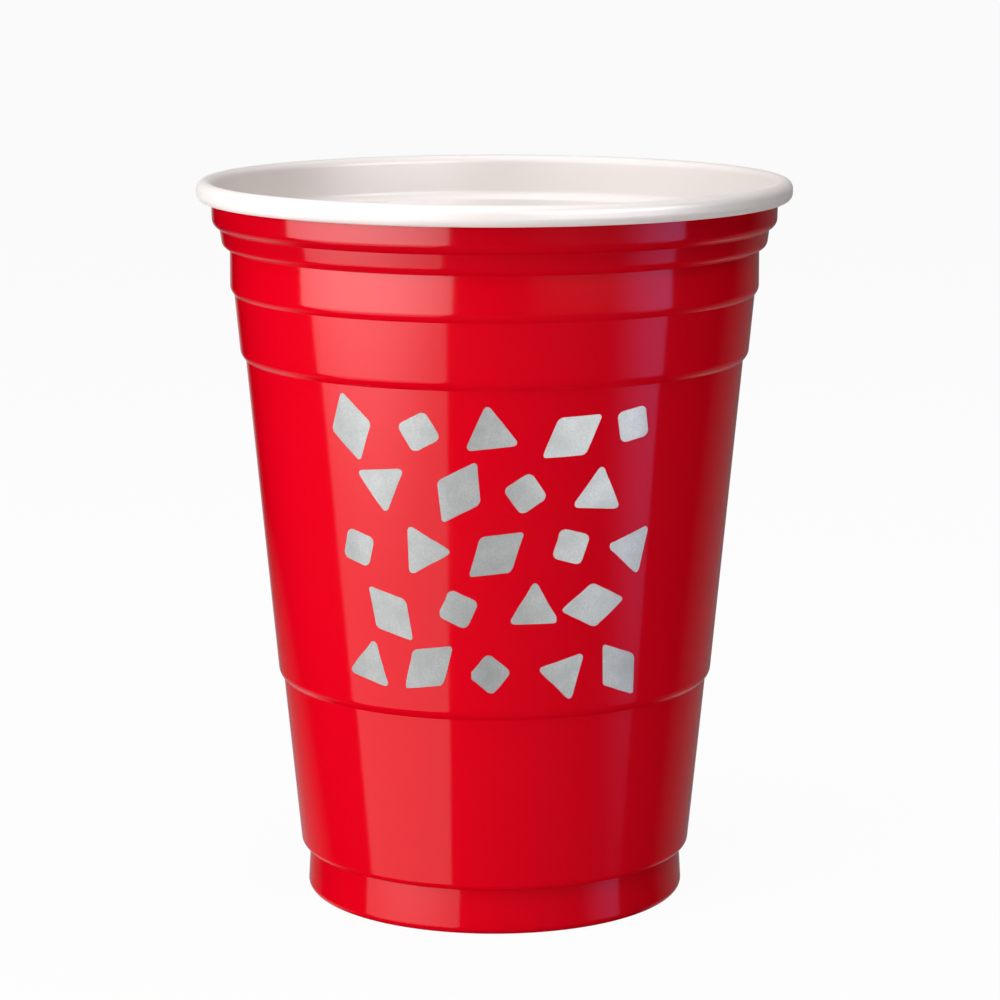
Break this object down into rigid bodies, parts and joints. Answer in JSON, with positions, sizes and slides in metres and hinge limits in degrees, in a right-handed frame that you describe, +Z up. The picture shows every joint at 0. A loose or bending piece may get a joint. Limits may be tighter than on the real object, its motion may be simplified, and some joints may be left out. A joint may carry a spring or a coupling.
{
  "type": "plastic party cup",
  "caption": "Tapered plastic party cup with a stepped wall, a rolled rim and a recessed base, glossy and coloured outside and pale inside.",
  "frame": {"origin": "middle of the plane that the cup stands on", "axes": "+Z up along the cup's axis, -Y towards the viewer of the picture, +X to the viewer's right"},
  "size_m": [0.0981, 0.098, 0.12],
  "materials": {
    "outside": "glossy moulded face",
    "inside": "glossy pale face of the sheet, also on the rim",
    "print": "screen-printed metallic ink"
  },
  "bodies": {
    "root": {"cup": "outside"}
  },
  "joints": []
}
